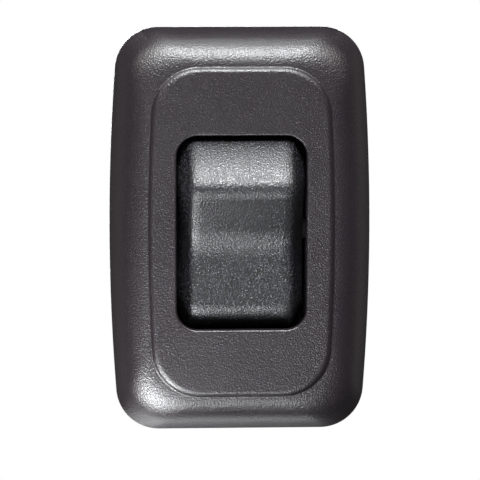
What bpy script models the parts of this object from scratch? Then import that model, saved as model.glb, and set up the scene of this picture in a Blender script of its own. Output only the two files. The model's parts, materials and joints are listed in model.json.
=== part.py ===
"""Rocker wall switch, modelled as the separate pieces that it comes apart into.

The switch stands on a wall as it does in use. X runs to the right, Z up, and Y into the wall, whose
surface is the plane y = 0. A height h above the wall is y = -h. The origin is the middle of the
wall plane, behind the middle of the rocker. Lengths are in metres.

A clip-on face plate covers a mounting frame, which two screws hold to the wall. The switch housing
snaps into the frame from the front. Its rocker turns on two trunnions and drives, through a sprung
plunger, a see-saw contact blade that closes the circuit between two tab terminals. The switch is
shown off, with the lower half of the rocker pressed in.
"""

import math

import bmesh
import bpy
from mathutils import Matrix, Vector

MM = 0.001

# Face plate
PLATE_HALF_W = 23.53 * MM
PLATE_HALF_H = 36.5 * MM
PLATE_CORNER = 7.8 * MM
PLATE_BOW = 392.0 * MM          # radius of the gently bowed long sides
CORNER_GROWTH = 0.12            # how fast the corner radius grows with the inset
RIM_LAND = 0.6 * MM             # upright land where the skirt meets the wall
SKIRT_ANGLE = math.radians(62)  # slope of the skirt, measured from the wall
SHOULDER_R = 6.1 * MM
SHOULDER_END = math.radians(4)  # slope that is left at the inner end of the shoulder
PANEL_FOOT = 6.7 * MM           # from the outline to the step up to the raised panel
PANEL_HEIGHT = 7.8 * MM
STEP_FOOT_R = 0.3 * MM
STEP_EDGE_R = 1.0 * MM
STEP_SLOPE = math.radians(65)
PLATE_WALL = 1.7 * MM
OPENING_HALF_W = 11.68 * MM
OPENING_HALF_H = 17.48 * MM
OPENING_CORNER = 3.8 * MM
OPENING_EDGE = 0.35 * MM
STRAIGHT = 3.0                  # bow radius of a side that is straight
BEAD_Z = 14.0 * MM
BEAD_HALF_LENGTH = 3.0 * MM

# Clearances
GAP = 0.3 * MM
FIT = 0.1 * MM

# Mounting frame
FRAME_INSET = 3.6 * MM
LIP_INSET = 3.0 * MM
LIP_HEIGHT = 1.3 * MM
FRAME_HEIGHT = 2.6 * MM
SCREW_Z = 27.5 * MM
SCREW_HOLE_R = 2.1 * MM

# Switch housing
HOUSING_HALF_W = 13.6 * MM
HOUSING_HALF_H = 20.9 * MM
HOUSING_WALL = 1.5 * MM
HOUSING_FRONT = 5.8 * MM        # height of its front edge above the wall
HOUSING_BACK = 16.6 * MM        # depth of its back edge behind the wall
FLANGE_LAP = 1.9 * MM
FLANGE_THICK = 1.2 * MM
LEDGE_LAP = 1.0 * MM
LEDGE_THICK = 0.8 * MM

# Terminal base, closing the back of the housing
BASE_FRONT = 14.2 * MM
WINDOW_HALF_W = 3.0 * MM

# Rocker, in its own level position: v is up and n is out of the wall, both from the pivot
PIVOT = Vector((0.0, 2.2 * MM, 0.0))
REST_TILT = math.radians(15)    # the upper half stands out, the lower half is pressed in
ROCKER_HALF_W = 11.36 * MM
CREST_V = 11.65 * MM
CREST_N = 12.9 * MM
CREST_R = 3.25 * MM
FACE_SLOPE = math.radians(22)  # each half of the face rises this much from the valley
VALLEY_R = 9.5 * MM
NOSE_V = 14.9 * MM
NOSE_N = 9.95 * MM
NOSE_R = 16.0 * MM
SKIRT_R = 18.7 * MM            # the ends are arcs round the pivot, so the gap stays even
SKIRT_TOP = math.radians(15)
SKIRT_FOOT = math.radians(-21)
SKIRT_BOTTOM_N = -3.0 * MM
ROCKER_CORNER = 3.8 * MM
FLAT_HALF_W = 7.2 * MM          # the face is flat this far to each side, then gently crowned
CROWN_R = 5.0 * MM
CROWN_END = math.radians(16)
EDGE_R = 1.3 * MM
SIDE_SLOPE = math.radians(72)
ROCKER_WALL = 1.6 * MM
TRUNNION_R = 2.0 * MM
TRUNNION_END = 13.1 * MM
BOSS_R = 3.1 * MM
BOSS_END_N = -5.2 * MM
BORE_R = 1.8 * MM
BORE_TOP_N = 7.0 * MM

# Contact mechanism
PLUNGER_R = 1.6 * MM
PLUNGER_TIP_R = 1.2 * MM
PLUNGER_TIP_N = -7.5 * MM
PLUNGER_TOP_N = -1.0 * MM
SPRING_MEAN_R = 1.25 * MM
SPRING_WIRE_R = 0.17 * MM
SPRING_TURNS = 8
BLADE_PIVOT = Vector((0.0, 10.7 * MM, 0.0))
BLADE_RATIO = -0.52             # the blade tips back 0.52 of what the rocker turns forward
BLADE_HALF_LENGTH = 9.8 * MM
BLADE_HALF_W = 2.2 * MM
BLADE_THICK = 0.8 * MM
CONTACT_Z = -8.0 * MM
SHEET = 0.8 * MM                # terminal sheet
TAB_HALF_W = 3.15 * MM
TAB_END = 25.5 * MM
TAB_EYE_R = 0.85 * MM
TAB_EYE_Y = 21.3 * MM
COMMON_TAB_Z = 5.6 * MM
LOAD_TAB_Z = -11.1 * MM
COMMON_RIVET_Z = 3.1 * MM
RIVET_R = 1.15 * MM

# Mounting screws
SCREW_HEAD_R = 3.5 * MM
SCREW_HEAD_HEIGHT = 2.2 * MM
SCREW_TIP = 16.3 * MM
THREAD_R = 1.75 * MM
CORE_R = 1.25 * MM
THREAD_PITCH = 1.6 * MM

ROUND_STEPS = 24
CORNER_STEPS = 8
SIDE_STEPS = 4                  # in half of a long side


# ---- scene and materials


def clear_scene():
    for obj in list(bpy.data.objects):
        bpy.data.objects.remove(obj, do_unlink=True)


def new_collection(name):
    collection = bpy.data.collections.new(name)
    bpy.context.scene.collection.children.link(collection)
    return collection


def new_material(name, colour, roughness, metallic=0.0):
    material = bpy.data.materials.new(name)
    material.use_nodes = True
    shader = material.node_tree.nodes["Principled BSDF"]
    shader.inputs["Base Color"].default_value = (*colour, 1.0)
    shader.inputs["Roughness"].default_value = roughness
    shader.inputs["Metallic"].default_value = metallic
    return material


def to_object(bm, name, collection, material=None):
    """An object from a bmesh, with its faces turned outwards."""
    bmesh.ops.recalc_face_normals(bm, faces=bm.faces)
    mesh = bpy.data.meshes.new(name)
    bm.to_mesh(mesh)
    bm.free()
    obj = bpy.data.objects.new(name, mesh)
    collection.objects.link(obj)
    if material:
        mesh.materials.append(material)
    return obj


def smooth(obj, angle=40):
    obj.data.shade_smooth()
    obj.data.set_sharp_from_angle(angle=math.radians(angle))


# ---- shapes


def block_bm(low, high, corner=0.0, axis=1, steps=5):
    """A box from corner to corner, with the edges along one axis rounded."""
    low, high = Vector(low), Vector(high)
    bm = bmesh.new()
    bmesh.ops.create_cube(bm, size=1.0)
    bmesh.ops.scale(bm, vec=high - low, verts=bm.verts)
    bmesh.ops.translate(bm, vec=(low + high) / 2, verts=bm.verts)
    if corner:
        along = [e for e in bm.edges if abs((e.verts[0].co - e.verts[1].co)[axis]) > 1e-9]
        bmesh.ops.bevel(bm, geom=along, offset=corner, segments=steps, profile=0.5, affect="EDGES")
    return bm


def rod_bm(radius, start, end, steps=ROUND_STEPS, end_radius=None):
    """A cylinder or cone between two points."""
    start, end = Vector(start), Vector(end)
    bm = bmesh.new()
    bmesh.ops.create_cone(
        bm,
        cap_ends=True,
        segments=steps,
        radius1=radius,
        radius2=radius if end_radius is None else end_radius,
        depth=(end - start).length,
    )
    turn = (end - start).to_track_quat("Z", "Y").to_matrix().to_4x4()
    bmesh.ops.transform(bm, matrix=Matrix.Translation((start + end) / 2) @ turn, verts=bm.verts)
    return bm


def loft_bm(rings, closed=False):
    """A solid through rings of equal length: capped at its ends, or closed round on itself."""
    bm = bmesh.new()
    loops = [[bm.verts.new(point) for point in ring] for ring in rings]
    pairs = list(zip(loops, loops[1:]))
    if closed:
        pairs.append((loops[-1], loops[0]))
    else:
        bm.faces.new(loops[0])
        bm.faces.new(loops[-1])
    for near, far in pairs:
        for i in range(len(near)):
            j = (i + 1) % len(near)
            bm.faces.new((near[i], near[j], far[j], far[i]))
    return bm


def turned(name, profile, collection, material, centre, steps=ROUND_STEPS):
    """A turned piece. The profile is (radius, height) from the front of its axis, out and down."""
    mesh = bpy.data.meshes.new(name)
    edges = [(i, i + 1) for i in range(len(profile) - 1)]
    mesh.from_pydata([(radius, 0.0, height) for radius, height in profile], edges, [])
    mesh.materials.append(material)
    obj = bpy.data.objects.new(name, mesh)
    collection.objects.link(obj)
    obj.location = centre
    obj.rotation_euler = (math.radians(90), 0, 0)
    screw = obj.modifiers.new("turn", "SCREW")
    screw.steps = steps
    screw.render_steps = steps
    screw.use_merge_vertices = True
    screw.merge_threshold = 1e-6
    return obj


def boolean(obj, other, operation="DIFFERENCE"):
    other.hide_render = True
    other.display_type = "WIRE"
    modifier = obj.modifiers.new(other.name, "BOOLEAN")
    modifier.operation = operation
    modifier.object = other


def arc(centre, radius, start, end, steps):
    """Points on an arc, both ends included."""
    turns = [start + (end - start) * i / steps for i in range(steps + 1)]
    return [(centre[0] + radius * math.cos(a), centre[1] + radius * math.sin(a)) for a in turns]


def filleted(corners, degrees_per_step=7.0):
    """A path through (x, y, radius) corners, each rounded to its radius."""
    path = [corners[0][:2]]
    for before, corner, after in zip(corners, corners[1:], corners[2:]):
        here = Vector(corner[:2])
        back = (Vector(before[:2]) - here).normalized()
        ahead = (Vector(after[:2]) - here).normalized()
        turn = math.pi - back.angle(ahead)
        reach = corner[2] * math.tan(turn / 2)
        middle = (back + ahead).normalized() * corner[2] / math.cos(turn / 2)
        centre = here + middle
        first = here + back * reach - centre
        last = here + ahead * reach - centre
        from_angle = math.atan2(first.y, first.x)
        swing = (math.atan2(last.y, last.x) - from_angle + math.pi) % (2 * math.pi) - math.pi
        steps = max(2, round(math.degrees(turn) / degrees_per_step))
        path += arc(centre, corner[2], from_angle, from_angle + swing, steps)
    path.append(corners[-1][:2])
    return path


def outline(half_w, half_h, corner, bow):
    """(x, z) points of a rectangle with round corners and long sides bowed out to radius bow."""
    middle_x = half_w - bow
    corner_z = half_h - corner
    corner_x = middle_x + math.sqrt((bow - corner) ** 2 - corner_z**2)
    meet = math.asin(corner_z / (bow - corner))
    quarter = arc((middle_x, 0.0), bow, 0.0, meet, SIDE_STEPS)
    quarter += arc((corner_x, corner_z), corner, meet, math.pi / 2, CORNER_STEPS)[1:]
    quarter.append((0.0, half_h))
    ring = quarter[:-1]
    ring += [(-x, z) for x, z in reversed(quarter[1:])]
    ring += [(-x, -z) for x, z in quarter[:-1]]
    ring += [(x, -z) for x, z in reversed(quarter[1:])]
    return ring


def plate_ring(inset, height):
    """The face plate's outline, moved in by an inset and lifted to a height above the wall."""
    ring = outline(
        PLATE_HALF_W - inset,
        PLATE_HALF_H - inset,
        PLATE_CORNER + CORNER_GROWTH * inset,
        PLATE_BOW - inset,
    )
    return [(x, -height, z) for x, z in ring]


def opening_ring(grow, height):
    ring = outline(OPENING_HALF_W + grow, OPENING_HALF_H + grow, OPENING_CORNER + grow, STRAIGHT)
    return [(x, -height, z) for x, z in ring]


# ---- face plate and mounting frame


def shoulder_profile(wall, steps):
    """(inset, height) from the wall up the skirt and over the shoulder, a wall's depth inside it."""
    arc_width = SHOULDER_R * (math.sin(SKIRT_ANGLE) - math.sin(SHOULDER_END))
    arc_rise = SHOULDER_R * (math.cos(SHOULDER_END) - math.cos(SKIRT_ANGLE))
    skirt_rise = (PANEL_FOOT - arc_width) * math.tan(SKIRT_ANGLE)
    centre = (
        PANEL_FOOT + SHOULDER_R * math.sin(SHOULDER_END),
        RIM_LAND + skirt_rise + arc_rise - SHOULDER_R * math.cos(SHOULDER_END),
    )
    start, end = math.pi / 2 + SKIRT_ANGLE, math.pi / 2 + SHOULDER_END
    bend = arc(centre, SHOULDER_R - wall, start, end, steps)
    foot = bend[0][0] - (bend[0][1] - RIM_LAND) / math.tan(SKIRT_ANGLE)
    return [(foot, 0.0), (foot, RIM_LAND), *bend]


def panel_step(foot):
    """(inset, height) from the shoulder's inner end, up the rounded step to the raised panel."""
    centre = (
        foot[0] - STEP_FOOT_R * math.sin(SHOULDER_END),
        foot[1] + STEP_FOOT_R * math.cos(SHOULDER_END),
    )
    half = math.pi / 2
    hollow = arc(centre, STEP_FOOT_R, SHOULDER_END - half, STEP_SLOPE - half, 2)
    edge_foot = PANEL_HEIGHT - STEP_EDGE_R * (1 - math.cos(STEP_SLOPE))
    across = (edge_foot - hollow[-1][1]) / math.tan(STEP_SLOPE)
    centre = (
        hollow[-1][0] + across + STEP_EDGE_R * math.sin(STEP_SLOPE),
        PANEL_HEIGHT - STEP_EDGE_R,
    )
    return hollow[1:] + arc(centre, STEP_EDGE_R, half + STEP_SLOPE, half, 4)


def face_plate(parts, cutters, material):
    """A thin moulded shell: skirt, round shoulder, step, raised panel and the rocker's opening."""
    outside = shoulder_profile(0.0, 9)
    rings = [plate_ring(*point) for point in outside + panel_step(outside[-1])]
    for turn in (0.0, 30.0, 60.0, 90.0):
        grow = OPENING_EDGE * (1 - math.sin(math.radians(turn)))
        drop = OPENING_EDGE * (1 - math.cos(math.radians(turn)))
        rings.append(opening_ring(grow, PANEL_HEIGHT - drop))
    underside = PANEL_HEIGHT - PLATE_WALL
    rings.append(opening_ring(0.0, underside))
    inside = shoulder_profile(PLATE_WALL, 4)
    rings.append(plate_ring(PANEL_FOOT + PLATE_WALL, underside))
    rings.append(plate_ring(inside[-1][0] + 0.5 * MM, inside[-1][1]))
    rings += [plate_ring(*point) for point in reversed(inside)]
    plate = to_object(loft_bm(rings, closed=True), "face_plate", parts, material)
    for side in (-1, 1):
        for up in (-1, 1):
            boolean(plate, snap_bead(side, up, cutters), "UNION")
    return plate


def snap_bead(side, up, cutters):
    """A bead inside the skirt, which clicks behind the lip of the mounting frame."""
    middle = up * BEAD_Z
    edge = PLATE_HALF_W - middle**2 / (2 * PLATE_BOW)
    tip_inset = FRAME_INSET - GAP
    low_h, high_h = 0.35 * MM, LIP_HEIGHT - GAP
    near, far = sorted((side * (edge - 1.45 * MM), side * (edge - tip_inset)))
    low = (near, -high_h, middle - BEAD_HALF_LENGTH)
    high = (far, -low_h, middle + BEAD_HALF_LENGTH)
    name = f"bead_{'right' if side > 0 else 'left'}_{'upper' if up > 0 else 'lower'}"
    return to_object(block_bm(low, high, 0.2 * MM, axis=2, steps=2), name, cutters)


def mounting_frame(parts, cutters, material):
    """The plate that the screws hold to the wall: a lip for the beads, a hole for the housing."""
    profile = [
        (FRAME_INSET, 0.0),
        (FRAME_INSET, LIP_HEIGHT),
        (LIP_INSET, LIP_HEIGHT),
        (LIP_INSET, FRAME_HEIGHT - 0.4 * MM),
        (LIP_INSET + 0.4 * MM, FRAME_HEIGHT),
    ]
    rings = [plate_ring(*point) for point in profile]
    frame = to_object(loft_bm(rings), "mounting_frame", parts, material)
    hole_w, hole_h = HOUSING_HALF_W + GAP, HOUSING_HALF_H + GAP
    reach = 2 * FRAME_HEIGHT
    hole = block_bm((-hole_w, -reach, -hole_h), (hole_w, reach, hole_h), 1.6 * MM)
    boolean(frame, to_object(hole, "frame_hole", cutters))
    for up in (-1, 1):
        z = up * SCREW_Z
        hole = rod_bm(SCREW_HOLE_R, (0, -reach, z), (0, reach, z))
        boolean(frame, to_object(hole, f"screw_hole_{'upper' if up > 0 else 'lower'}", cutters))
        for side in (-1, 1):
            x = side * 12.5 * MM
            pocket = block_bm(
                (x - 4.2 * MM, -FRAME_HEIGHT - GAP, z - 2.6 * MM),
                (x + 4.2 * MM, -1.2 * MM, z + 2.6 * MM),
                1.2 * MM,
            )
            boolean(frame, to_object(pocket, f"core_out_{side}_{up}", cutters))
    return frame


def mount_screw(name, z, parts, cutters, material):
    """A pan-head tapping screw, its thread drawn as rings, with a cross recess."""
    seat = FRAME_HEIGHT + FIT
    crown = seat + SCREW_HEAD_HEIGHT
    profile = [(0.0, crown)]
    for turn in (20.0, 45.0, 70.0, 90.0):
        spread = math.sin(math.radians(turn))
        drop = 1 - math.cos(math.radians(turn))
        profile.append((SCREW_HEAD_R * (0.45 + 0.55 * spread), crown - 1.3 * MM * drop))
    profile += [(SCREW_HEAD_R, seat), (CORE_R, seat)]
    first_thread = 0.6 * MM
    threads = 8
    for i in range(threads):
        start = -first_thread - i * THREAD_PITCH
        profile += [(CORE_R, start), (THREAD_R, start - 0.5 * THREAD_PITCH)]
    profile += [(CORE_R, -first_thread - threads * THREAD_PITCH), (0.0, -SCREW_TIP)]
    screw = turned(name, profile, parts, material, (0.0, 0.0, z), steps=16)
    for across in (0, 1):
        half = [1.9 * MM, 1.9 * MM]
        half[across] = 0.36 * MM
        arm = block_bm(
            (-half[0], -crown - FIT, z - half[1]),
            (half[0], -crown + 1.3 * MM, z + half[1]),
        )
        boolean(screw, to_object(arm, f"{name}_recess_{across}", cutters))
    return screw


# ---- switch housing and terminal base


def switch_housing(parts, cutters, material):
    """An open box with a front flange, two trunnion holes, snap wings and a ledge for the base."""
    half_w, half_h = HOUSING_HALF_W, HOUSING_HALF_H
    inner_w, inner_h = half_w - HOUSING_WALL, half_h - HOUSING_WALL
    shell = block_bm((-half_w, -HOUSING_FRONT, -half_h), (half_w, HOUSING_BACK, half_h), 1.5 * MM)
    housing = to_object(shell, "switch_housing", parts, material)
    flange_h = FRAME_HEIGHT + GAP
    flange = block_bm(
        (-half_w - FLANGE_LAP, -flange_h - FLANGE_THICK, -half_h - FLANGE_LAP),
        (half_w + FLANGE_LAP, -flange_h, half_h + FLANGE_LAP),
        2.0 * MM,
    )
    boolean(housing, to_object(flange, "housing_flange", cutters), "UNION")
    for up in (-1, 1):
        boolean(housing, snap_wing(up, cutters), "UNION")
    beyond = 1.0 * MM
    ledge_back = BASE_FRONT - FIT
    ledge_front = ledge_back - LEDGE_THICK
    spans = {
        "front_cavity": (-HOUSING_FRONT - beyond, ledge_front, 0.0),
        "ledge_hole": (ledge_front - beyond, ledge_back + beyond, LEDGE_LAP),
        "base_recess": (ledge_back, HOUSING_BACK + beyond, 0.0),
    }
    for name, (front, back, lap) in spans.items():
        cavity = block_bm(
            (-inner_w + lap, front, -inner_h + lap), (inner_w - lap, back, inner_h - lap), 0.8 * MM
        )
        boolean(housing, to_object(cavity, name, cutters))
    reach = half_w + beyond
    hole = rod_bm(TRUNNION_R + 0.15 * MM, PIVOT - Vector((reach, 0, 0)), PIVOT + Vector((reach, 0, 0)))
    boolean(housing, to_object(hole, "trunnion_holes", cutters))
    for up in (-1, 1):
        near, far = sorted((up * (inner_h - beyond), up * (half_h + beyond)))
        window = block_bm((-WINDOW_HALF_W, 14.8 * MM, near), (WINDOW_HALF_W, 15.9 * MM, far))
        boolean(housing, to_object(window, f"base_window_{up}", cutters))
    return housing


def snap_wing(up, cutters):
    """A ramped wing on an end wall, which springs out behind the mounting frame."""
    wing_half_w = 5.0 * MM
    out, root = 22.1 * MM, HOUSING_HALF_H - 0.5 * MM
    side = [(root, GAP), (out, GAP), (out, 1.2 * MM), (HOUSING_HALF_H, 5.0 * MM), (root, 5.0 * MM)]
    rings = [[(x, y, up * z) for z, y in side] for x in (-wing_half_w, wing_half_w)]
    return to_object(loft_bm(rings), f"snap_wing_{up}", cutters)


def terminal_base(parts, cutters, material):
    """The insulating base: slots for the tabs, rivet holes, a stop post and blade guides."""
    half_w = HOUSING_HALF_W - HOUSING_WALL - GAP
    half_h = HOUSING_HALF_H - HOUSING_WALL - GAP
    slab = block_bm((-half_w, BASE_FRONT, -half_h), (half_w, HOUSING_BACK, half_h), 0.6 * MM, steps=3)
    base = to_object(slab, "terminal_base", parts, material)
    sunk = BASE_FRONT + 0.4 * MM
    added = {
        "stop_post": ((-2.0, 12.0, 7.3), (2.0, sunk / MM, 8.7)),
        "guide_left": ((-4.8, 11.6, -10.4), (-3.7, sunk / MM, 10.4)),
        "guide_right": ((3.7, 11.6, -10.4), (4.8, sunk / MM, 10.4)),
        "barrier": ((-6.5, HOUSING_BACK / MM - 0.5, -3.6), (6.5, 21.5, -2.4)),
    }
    for up in (-1, 1):
        near, far = sorted((up * 18.5, up * 20.6))
        added[f"base_catch_{up}"] = ((-2.6, 15.0, near), (2.6, 15.7, far))
    for name, (low, high) in added.items():
        piece = block_bm([c * MM for c in low], [c * MM for c in high])
        boolean(base, to_object(piece, name, cutters), "UNION")
    through_front, through_back = BASE_FRONT - 1.0 * MM, HOUSING_BACK + 1.0 * MM
    for name, z in (("common_slot", COMMON_TAB_Z), ("load_slot", LOAD_TAB_Z)):
        slot_w, slot_h = TAB_HALF_W + GAP, SHEET / 2 + 0.2 * MM
        slot = block_bm((-slot_w, through_front, z - slot_h), (slot_w, through_back, z + slot_h))
        boolean(base, to_object(slot, name, cutters))
    for name, z in (("common_rivet_hole", COMMON_RIVET_Z), ("load_rivet_hole", CONTACT_Z)):
        hole = rod_bm(RIVET_R + FIT, (0, through_front, z), (0, through_back, z))
        boolean(base, to_object(hole, name, cutters))
    return base


# ---- rocker


def rocker_face():
    """(v, n) of the rocker's face along its middle, from one end over both crests to the other."""
    end = (SKIRT_R * math.cos(SKIRT_TOP), SKIRT_R * math.sin(SKIRT_TOP))
    valley_n = CREST_N - CREST_V * math.tan(FACE_SLOPE)
    corners = [
        (*end, 0.0),
        (NOSE_V, NOSE_N, NOSE_R),
        (CREST_V, CREST_N, CREST_R),
        (0.0, valley_n, VALLEY_R),
        (-CREST_V, CREST_N, CREST_R),
        (-NOSE_V, NOSE_N, NOSE_R),
        (-end[0], end[1], 0.0),
    ]
    return filleted(corners)


def rocker_sections():
    """(x, drop of the face, pull-in of the ends) from the middle of the rocker out to its side."""
    sections = [(0.0, 0.0)]
    for i in range(4):
        turn = CROWN_END * i / 3
        sections.append((FLAT_HALF_W + CROWN_R * math.sin(turn), CROWN_R * (1 - math.cos(turn))))
    start_x, start_drop = sections[-1]
    for i in range(1, 7):
        turn = CROWN_END + (SIDE_SLOPE - CROWN_END) * i / 6
        x = start_x + EDGE_R * (math.sin(turn) - math.sin(CROWN_END))
        drop = start_drop + EDGE_R * (math.cos(CROWN_END) - math.cos(turn))
        sections.append((x, drop))
    edge_x, edge_drop = sections[-1]
    run = ROCKER_HALF_W - edge_x
    for share in (0.25, 0.5, 0.75, 0.92, 1.0):
        sections.append((edge_x + run * share, edge_drop + run * share * math.tan(SIDE_SLOPE)))
    pulled = []
    for x, drop in sections:
        reach = max(0.0, 1 - (ROCKER_HALF_W - x) / ROCKER_CORNER)
        pull = ROCKER_CORNER * (1 - math.sqrt(1 - min(reach, 0.985) ** 2))
        pulled.append((x, drop, pull))
    return pulled


def rocker_form(wall, skip):
    """The rocker's closed outer form, or its hollow if wall is over zero, from every skip-th section."""
    face = rocker_face()
    half = rocker_sections()[::skip]
    rings = []
    for x, drop, pull in [(-x, drop, pull) for x, drop, pull in reversed(half[1:])] + half:
        radius = SKIRT_R - pull - wall
        end_n = face[0][1] - drop - wall
        end_v = math.sqrt(radius**2 - end_n**2)
        stretch = (end_v - CREST_V) / (face[0][0] - CREST_V)
        skirt = arc((0.0, 0.0), radius, SKIRT_FOOT, math.asin(end_n / radius), 5)[:-1]
        top = []
        for v, n in face:
            moved = max(0.0, abs(v) - CREST_V) * (stretch - 1)
            top.append((v + math.copysign(1, v) * moved, n - drop - wall))
        side = skirt + top + [(-v, n) for v, n in reversed(skirt)]
        x_in = x * (ROCKER_HALF_W - wall) / ROCKER_HALF_W
        rings.append([(x_in, -n, v) for v, n in side])
    return loft_bm(rings)


def rocker(parts, cutters, material, pivot):
    """The moulded rocker: concave face, round noses, hollow back, trunnions and plunger boss."""
    body = to_object(rocker_form(0.0, 1), "rocker", parts, material)
    hollow = to_object(rocker_form(ROCKER_WALL, 3), "rocker_hollow", cutters)
    boolean(body, hollow)
    rib_top, rib_low, rib_half = 8.1 * MM, 1.5 * MM, 0.6 * MM
    wide, narrow = 10.2 * MM, 8.3 * MM
    section = [(-wide, SKIRT_BOTTOM_N), (wide, SKIRT_BOTTOM_N), (wide, rib_low), (narrow, rib_top)]
    section += [(-narrow, rib_top), (-wide, rib_low)]
    rib = loft_bm([[(x, -n, v) for x, n in section] for v in (-rib_half, rib_half)])
    boss = rod_bm(BOSS_R, (0, -rib_top, 0), (0, -BOSS_END_N, 0))
    axle = rod_bm(TRUNNION_R, (-TRUNNION_END, 0, 0), (TRUNNION_END, 0, 0))
    inside = 8.6 * MM
    between = block_bm((-inside, -2.4 * MM, -2.6 * MM), (inside, 2.4 * MM, 2.6 * MM))
    stub_axle = to_object(axle, "trunnions", cutters)
    boolean(stub_axle, to_object(between, "between_trunnions", cutters))
    skirt_cut = block_bm((-15 * MM, -SKIRT_BOTTOM_N, -25 * MM), (15 * MM, 20 * MM, 25 * MM))
    boolean(body, to_object(skirt_cut, "below_skirt", cutters))
    boolean(body, to_object(rib, "cross_rib", cutters), "UNION")
    boolean(body, stub_axle, "UNION")
    boolean(body, to_object(boss, "plunger_boss", cutters), "UNION")
    bore = rod_bm(BORE_R, (0, -BORE_TOP_N, 0), (0, -BOSS_END_N + 1.0 * MM, 0))
    boolean(body, to_object(bore, "plunger_bore", cutters))
    body.parent = pivot
    for helper in [m.object for m in body.modifiers] + [bpy.data.objects["between_trunnions"]]:
        helper.parent = pivot
    return body


def plunger(parts, material, pivot):
    """A round-nosed pin that slides in the rocker's bore and presses on the blade."""
    shoulder = PLUNGER_TIP_N + 1.9 * MM
    centre = PLUNGER_TIP_N + PLUNGER_TIP_R
    profile = [(0.0, PLUNGER_TOP_N), (PLUNGER_R - 0.3 * MM, PLUNGER_TOP_N)]
    profile += [(PLUNGER_R, PLUNGER_TOP_N - 0.3 * MM), (PLUNGER_R, shoulder)]
    for turn in (0.0, -30.0, -60.0):
        spoke = math.radians(turn)
        profile.append((PLUNGER_TIP_R * math.cos(spoke), centre + PLUNGER_TIP_R * math.sin(spoke)))
    profile.append((0.0, PLUNGER_TIP_N))
    pin = turned("plunger", profile, parts, material, (0.0, 0.0, 0.0))
    pin.parent = pivot
    return pin


def plunger_spring(parts, material, pivot):
    """A compression spring between the end of the bore and the plunger, with closed end coils."""
    low = PLUNGER_TOP_N + SPRING_WIRE_R + FIT
    high = BORE_TOP_N - SPRING_WIRE_R - FIT
    per_turn = 10
    count = SPRING_TURNS * per_turn
    end_share = 2.6 * SPRING_WIRE_R / (high - low)
    points = []
    for i in range(count + 1):
        turns = i / per_turn
        if turns <= 1:
            rise = end_share * turns
        elif turns >= SPRING_TURNS - 1:
            rise = 1 - end_share * (SPRING_TURNS - turns)
        else:
            rise = end_share + (1 - 2 * end_share) * (turns - 1) / (SPRING_TURNS - 2)
        angle = 2 * math.pi * turns
        n = low + (high - low) * rise
        points.append((SPRING_MEAN_R * math.cos(angle), -n, SPRING_MEAN_R * math.sin(angle)))
    curve = bpy.data.curves.new("plunger_spring", "CURVE")
    curve.dimensions = "3D"
    curve.bevel_depth = SPRING_WIRE_R
    curve.bevel_resolution = 1
    curve.use_fill_caps = True
    curve.materials.append(material)
    spline = curve.splines.new("POLY")
    spline.points.add(len(points) - 1)
    for point, place in zip(spline.points, points):
        point.co = (*place, 1.0)
    spring = bpy.data.objects.new("plunger_spring", curve)
    parts.objects.link(spring)
    spring.parent = pivot
    return spring


# ---- contacts and terminals


def contact_blade(parts, cutters, material, pivot):
    """The see-saw strip, in the frame of its own pivot, with a hole for its contact rivet."""
    front = -0.85 * MM
    strip = block_bm(
        (-BLADE_HALF_W, front, -BLADE_HALF_LENGTH),
        (BLADE_HALF_W, front + BLADE_THICK, BLADE_HALF_LENGTH),
        1.2 * MM,
        steps=4,
    )
    blade = to_object(strip, "contact_blade", parts, material)
    hole = rod_bm(0.9 * MM, (0, -2 * MM, CONTACT_Z), (0, 2 * MM, CONTACT_Z), steps=16)
    cutter = to_object(hole, "blade_hole", cutters)
    boolean(blade, cutter)
    blade.parent = pivot
    cutter.parent = pivot
    return blade


def moving_contact(parts, material, pivot):
    """The silver rivet in the blade: contact button behind, staked head in front."""
    button_h, staked_h = 0.0 * MM, 0.9 * MM
    profile = [
        (0.0, staked_h + 0.45 * MM),
        (0.9 * MM, staked_h + 0.4 * MM),
        (1.3 * MM, staked_h),
        (0.8 * MM, staked_h),
        (0.8 * MM, button_h),
        (1.6 * MM, button_h),
        (1.6 * MM, -0.4 * MM),
        (1.3 * MM, -0.6 * MM),
        (0.0, -0.6 * MM),
    ]
    rivet = turned("moving_contact", profile, parts, material, (0.0, 0.0, CONTACT_Z), steps=16)
    rivet.parent = pivot
    return rivet


def base_rivet(name, z, head_front, parts, material):
    """A rivet that stakes a terminal to the base, with its formed head behind the base."""
    seat = -(BASE_FRONT - SHEET - 2 * FIT)
    back = -(HOUSING_BACK + FIT)
    profile = [
        (0.0, -head_front),
        (1.35 * MM, -head_front),
        (1.7 * MM, -head_front - 0.2 * MM),
        (1.7 * MM, seat),
        (RIVET_R, seat),
        (RIVET_R, back),
        (1.7 * MM, back),
        (1.3 * MM, back - 0.5 * MM),
        (0.0, back - 0.6 * MM),
    ]
    return turned(name, profile, parts, material, (0.0, 0.0, z), steps=16)


def tab_side(z, name, cutters):
    """The push-on tab of a terminal, with pointed corners and an eye for the connector's dimple."""
    bend = BASE_FRONT - FIT - SHEET
    half = SHEET / 2
    taper = 1.1 * MM
    flat = [
        (-TAB_HALF_W, bend),
        (TAB_HALF_W, bend),
        (TAB_HALF_W, TAB_END - taper),
        (TAB_HALF_W - taper, TAB_END),
        (-TAB_HALF_W + taper, TAB_END),
        (-TAB_HALF_W, TAB_END - taper),
    ]
    rings = [[(x, y, z + up * half) for x, y in flat] for up in (-1, 1)]
    return to_object(loft_bm(rings), name, cutters)


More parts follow.
